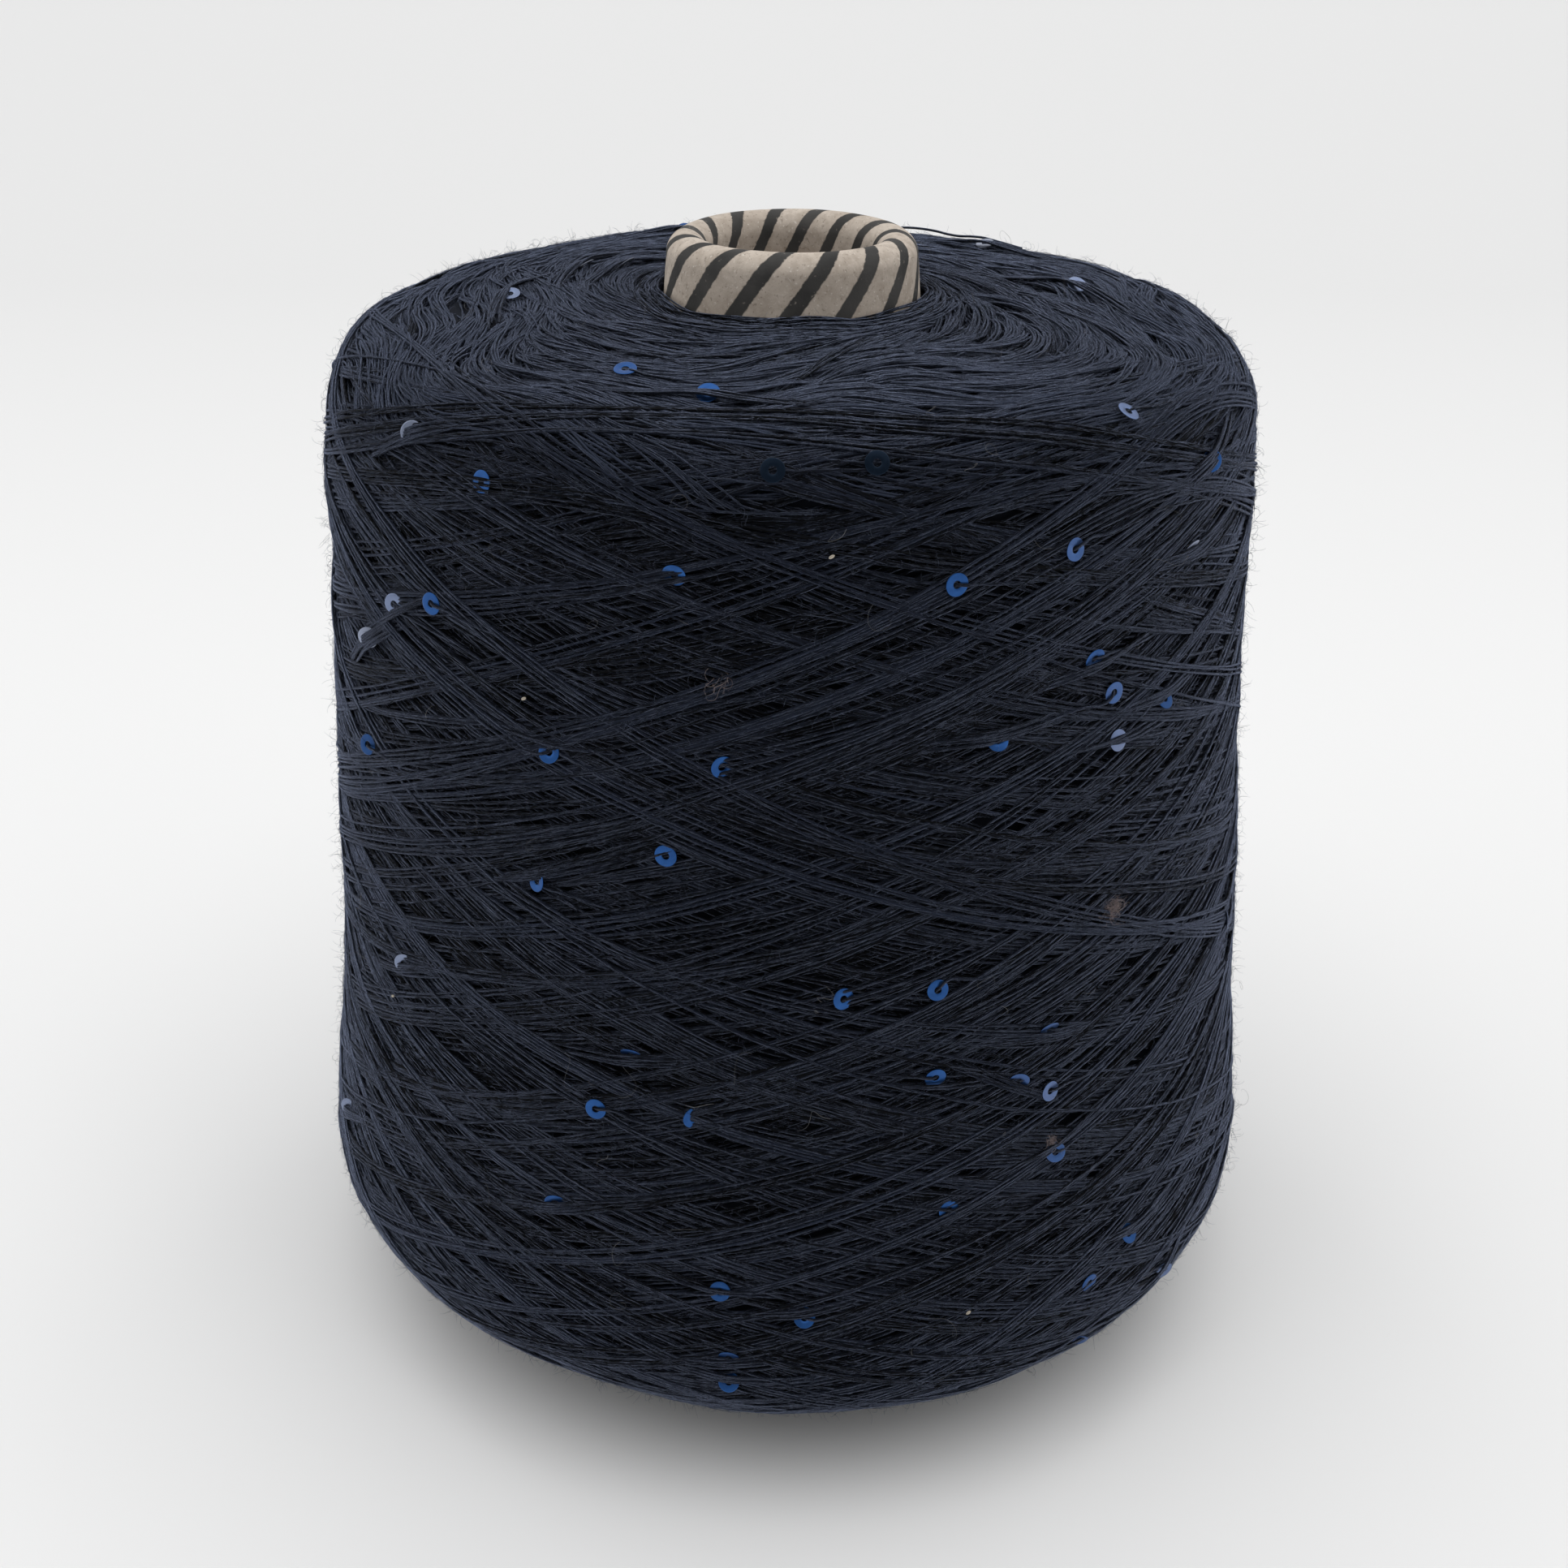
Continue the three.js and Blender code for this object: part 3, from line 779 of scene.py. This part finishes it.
# How each lies, by its number: the clock side, in degrees from the top, that the yarn hides or that its own
# strand crosses; how much of its width is hidden, below zero for a strand over its middle; and its painted
# glint, grey-white above zero, or painted dark reflection below zero.
LIES = {
    1: (100, 0, 0), 2: (180, 0.5, 0), 3: (75, 0, 0.3), 4: (95, 0, -1), 5: (95, 0, -1), 6: (180, 0.5, 1),
    7: (180, 0.6, 1), 8: (180, 0.5, 0.5), 9: (270, 0.5, 0.5), 10: (0, 0.4, 0.9), 12: (270, 0.7, 0),
    13: (90, 0.7, 0.7), 14: (60, 0, 0.1), 15: (90, 0, 0), 16: (80, 0, 0), 17: (90, 0.4, 0.5),
    18: (90, 0.75, 0.8), 19: (180, 0.6, 0.7), 20: (180, 0.35, 0), 21: (235, 0, 0.1), 22: (0, 0.5, -0.4),
    23: (0, 0.55, 0), 24: (0, -0.3, 0.4), 25: (90, 0, -0.3), 26: (0, 0.25, 0), 27: (300, 0.45, 0),
    28: (90, 0.6, 0.6), 29: (20, 0, -0.1), 30: (180, 0.45, 0.1), 31: (180, 0.2, 0), 32: (225, 0.5, 0.1),
    33: (80, 0, 0.25), 34: (180, 0.65, 0), 35: (60, 0, 0), 36: (90, 0.65, 0.6), 37: (135, 0.55, 0),
    38: (315, 0.25, 0.1), 39: (0, 0.5, -0.3), 40: (270, 0.3, 0.3), 41: (0, -0.2, -0.2), 42: (0, 0.5, 0),
    43: (180, 0.5, -0.3), 44: (0, 0.5, 0), 45: (90, 0.5, 0.6),
}
# How far its own strand has stood each of these up: 0 is flat on the yarn, 1 faces forward.
STANDING = {1: 0.2, 4: 1, 5: 1, 8: 0.3, 25: 0.4}
FORWARD_TILT = math.radians(24)
MOST_DIP = 48
COVER_GAP = 0.36


def seat_of(node):
    """Where a CAD sequin lies on the package: its azimuth, its length down the outline and its radius."""
    mesh = node.data
    flat = np.empty(len(mesh.vertices) * 3, np.float32)
    mesh.vertices.foreach_get("co", flat)
    corners = flat.reshape(-1, 3).astype(float)
    centre = (corners.min(0) + corners.max(0)) / 2
    radius = math.hypot(centre[0], centre[1])
    gap = np.hypot(outline_points[:, 0] - radius, outline_points[:, 1] - centre[2])
    return math.atan2(centre[0], -centre[1]), outline_length[int(np.argmin(gap))], radius


def near(seat, across, up, height):
    """Points beside a sequin, by distances in mm across, up and out from its middle, over the package."""
    azimuth, length, radius = seat
    return on_package(azimuth + across * MM / radius, length - up * MM, -height * MM)


def strand_over(seat, across, up, height):
    """One strand laid through a few places beside a sequin."""
    points, out = near(seat, *map(np.asarray, (across, up, height)))
    return through(points, 36)[None], through(out, 36)[None], YARN / 2, [random.uniform(-0.15, 0.25)]


def ring_skin(middle, side, other, face, number):
    """Points of one punched ring, slightly bent, in rings round its axis."""
    turn = np.arange(SEQUIN_SIDES) * 2 * math.pi / SEQUIN_SIDES
    bend = 0.05 * math.sin(number)
    rings = []
    for radius, height in SEQUIN_PROFILE:
        lift = height + bend * (radius * np.cos(turn + number)) ** 2
        flat = radius * np.cos(turn)[:, None] * side + radius * np.sin(turn)[:, None] * other
        rings.append(middle + MM * (flat + lift[:, None] * face))
    return np.vstack(rings)


def sequin_piece(name, skins, painted_glint_and_shade):
    """One piece from the skins of any number of rings, all with the same painted glint or painted shade."""
    one = np.array(ring_faces(len(SEQUIN_PROFILE), SEQUIN_SIDES))
    faces = np.vstack([one + number * len(skins[0]) for number in range(len(skins))])
    points = np.vstack(skins)
    piece = mesh_of(name, points, faces, sequin_film)
    glint_and_shade_layer = piece.data.attributes.new("painted_glint_and_shade", "FLOAT", "POINT")
    glint_and_shade_layer.data.foreach_set("value", np.full(len(points), painted_glint_and_shade, np.float32))
    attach(piece, "root")
    return piece


def sequin(name, number):
    """The ring in place of one CAD sequin; gives back the strands that hold it and cover it."""
    seat = seat_of(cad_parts[name])
    clock, hidden, painted_glint_and_shade = LIES.get(number, (random.uniform(0, 360), random.choice([0, 0.5]), 0))
    middle, facing = near(seat, np.zeros(1), np.zeros(1), np.zeros(1))
    middle, facing = middle[0], facing[0]
    across = np.array([math.cos(seat[0]), math.sin(seat[0]), 0])
    up = np.cross(facing, across)
    # The hidden side dips under the yarn, so the whole ring leans that way.
    dip = math.radians(max(0, hidden) * MOST_DIP + random.uniform(2, 9))
    side = math.sin(math.radians(clock)) * across + math.cos(math.radians(clock)) * up
    stands = STANDING.get(number, 0)
    if stands:
        ahead = np.array([0, -math.cos(FORWARD_TILT), math.sin(FORWARD_TILT)])
        facing = facing * (1 - stands) + ahead * stands
        facing = facing / np.linalg.norm(facing)
        dip = 0
        side = side - facing * (side @ facing)
        side /= np.linalg.norm(side)
    lean_side = side * math.cos(dip) - facing * math.sin(dip)
    lean_face = facing * math.cos(dip) + side * math.sin(dip)
    other = np.cross(lean_face, lean_side)
    on_top = number <= TOP_SEQUINS
    middle = middle + facing * ((0.45 if on_top else 0.14) - 0.5 * max(0, hidden)) * MM
    middle = middle + facing * (0.6 * MM if stands == 1 else 0)
    piece = sequin_piece(f"blue_{name}", [ring_skin(middle, lean_side, other, lean_face, number)], painted_glint_and_shade)
    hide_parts(name)
    strands = []
    # Its own strand: up through the hole, out over the rim on one side, and down among the turns again.
    way = math.radians(clock if hidden == 0 else random.choice([90, 270]) + random.uniform(-20, 20))
    run = np.array([-11, -6, -2.4, -1.1, -0.35, 0.3, 1.1, 1.8, 3, 6, 10, 14])
    lift = np.array([-1.1, -0.7, -0.5, -0.45, -0.3, 0.2, 0.36, 0.3, 0.05, -0.1, -0.4, -1.1])
    level_run = np.abs(run) * np.sign(run) * math.copysign(1, math.sin(way) or 1)
    close = np.clip(1 - np.abs(run) / 5, 0, 1)
    across_run = close * run * math.sin(way) + (1 - close) * level_run
    up_run = close * run * math.cos(way) + run * random.uniform(-0.2, 0.2)
    strands.append(strand_over(seat, across_run, up_run, lift - max(0, hidden) * 0.5))
    # Turns that cross its hidden part, never steeper than the winding allows.
    from_level = (clock + 90) % 180 - 90
    steep = math.radians(clock - from_level + max(-24, min(24, from_level)) + random.uniform(-9, 9))
    cover = abs(hidden) * SEQUIN_WIDTH
    for row in np.arange(0.05, cover - 0.1 if hidden else 0, COVER_GAP):
        at = SEQUIN_WIDTH / 2 - row if hidden > 0 else cover / 2 - row
        run = np.array([-14, -8, -4, -1.5, 0, 1.5, 4, 8, 14]) + random.uniform(-2, 2)
        lift = np.array([-1.1, -0.6, -0.1, 0.24, 0.3, 0.24, -0.1, -0.6, -1.1]) + (0.35 if on_top else 0)
        turned = steep + random.uniform(-0.04, 0.04)
        strands.append(strand_over(seat, run * math.cos(turned) + at * math.sin(turned),
                                   at * math.cos(turned) - run * math.sin(turned), lift))
    return strands


sequin_names = sorted(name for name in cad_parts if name.startswith("sequin_"))
carriers = sum((sequin(name, int(name[-2:])) for name in sequin_names), [])
in_pieces("sequin_strands", carriers, navy_yarn)

# More sequins lie so deep among the turns that only a glint of each shows: degrees round from the front, and
# share of the package height.
DEEP_SEQUINS = (
    (-35, 0.96), (-12, 0.88), (-7, 0.72), (-13, 0.635), (6, 0.51), (-10, 0.385), (36, 0.15),
    (18, 0.28), (36, 0.07), (118, 0.6), (-131, 0.3), (160, 0.75), (-95, 0.5), (90, 0.2),
)
deep_skins = []
for number, (azimuth, share) in enumerate(DEEP_SEQUINS):
    around, length = at_place(azimuth, share, 0.1)(1)
    middle, facing = on_package(around, length, random.uniform(0.35, 0.6) * MM)
    middle, facing = middle[0], facing[0] + random.normal(0, 0.3, 3)
    facing /= np.linalg.norm(facing)
    side = np.cross(facing, (0, 0, 1))
    side /= np.linalg.norm(side)
    deep_skins.append(ring_skin(middle, side, np.cross(facing, side), facing, number))
sequin_piece("deep_sequins", deep_skins, 0)

# ---------------------------------------------------------------------------------------------------------
# The floor, the light and the camera: a wide pale table, large soft lights overhead, behind and at each side,
# a dim white room all round, and a camera a little above the package and in front of it.
def plain_floor():
    """A flat table top, painted slightly darker towards the back: painted falloff of the light."""
    mesh = bpy.data.meshes.new("floor")
    half = 4
    corners = [(-half, -half, 0), (half, -half, 0), (half, half, 0), (-half, half, 0)]
    mesh.from_pydata(corners, [], [(0, 1, 2, 3)])
    floor = bpy.data.objects.new("floor", mesh)
    bpy.context.collection.objects.link(floor)
    material, tree, shader, add = blank_material("table_top")
    place = add("ShaderNodeTexCoord").outputs["Object"]
    depth = add("ShaderNodeSeparateXYZ", {"Vector": place}).outputs["Y"]
    # Painted falloff of light: the table's colour drops towards the back.
    share = add("ShaderNodeMapRange", {"Value": depth, 1: -0.1, 2: 0.7, 3: 0, 4: 1})
    sheet = add("ShaderNodeMix", {"Factor": share.outputs[0], 6: (0.85, 0.85, 0.85, 1),
                                  7: (0.7, 0.7, 0.7, 1)}, data_type="RGBA")
    tree.links.new(sheet.outputs[2], shader.inputs["Base Color"])
    shader.inputs["Roughness"].default_value = 0.6
    mesh.materials.append(material)


def wide_light(name, height, side, width, strength):
    """A far, even light, by its angles above the table and round from straight behind, and its width."""
    light = bpy.data.lights.new(name, "SUN")
    light.energy = strength
    light.angle = math.radians(width)
    lamp = bpy.data.objects.new(name, light)
    lamp.rotation_euler = (math.radians(height - 90), 0, math.radians(-side))
    bpy.context.collection.objects.link(lamp)


plain_floor()
wide_light("light_overhead", 72, 180, 55, 0.85)
wide_light("light_back", 48, 0, 70, 0.7)
wide_light("light_left", 38, -86, 80, 1.15)
wide_light("light_right", 38, 86, 80, 1.15)
room = bpy.data.worlds.new("room")
bpy.context.scene.world = room
room.use_nodes = True
room.node_tree.nodes["Background"].inputs["Color"].default_value = (1, 1, 1, 1)
room.node_tree.nodes["Background"].inputs["Strength"].default_value = 0.3

camera_data = bpy.data.cameras.new("camera")
camera_data.sensor_width = 36
camera_data.lens = 45.66
camera = bpy.data.objects.new("camera", camera_data)
camera_place = Matrix.Translation((-0.7 * MM, -288.5 * MM, 228.4 * MM))
looking_down = Matrix.Rotation(math.radians(90 - 27), 4, "X")
slight_roll = Matrix.Rotation(math.radians(0.375), 4, "Z")
camera.matrix_world = camera_place @ looking_down @ slight_roll
bpy.context.collection.objects.link(camera)
bpy.context.scene.camera = camera
bpy.context.scene.view_settings.view_transform = "Standard"
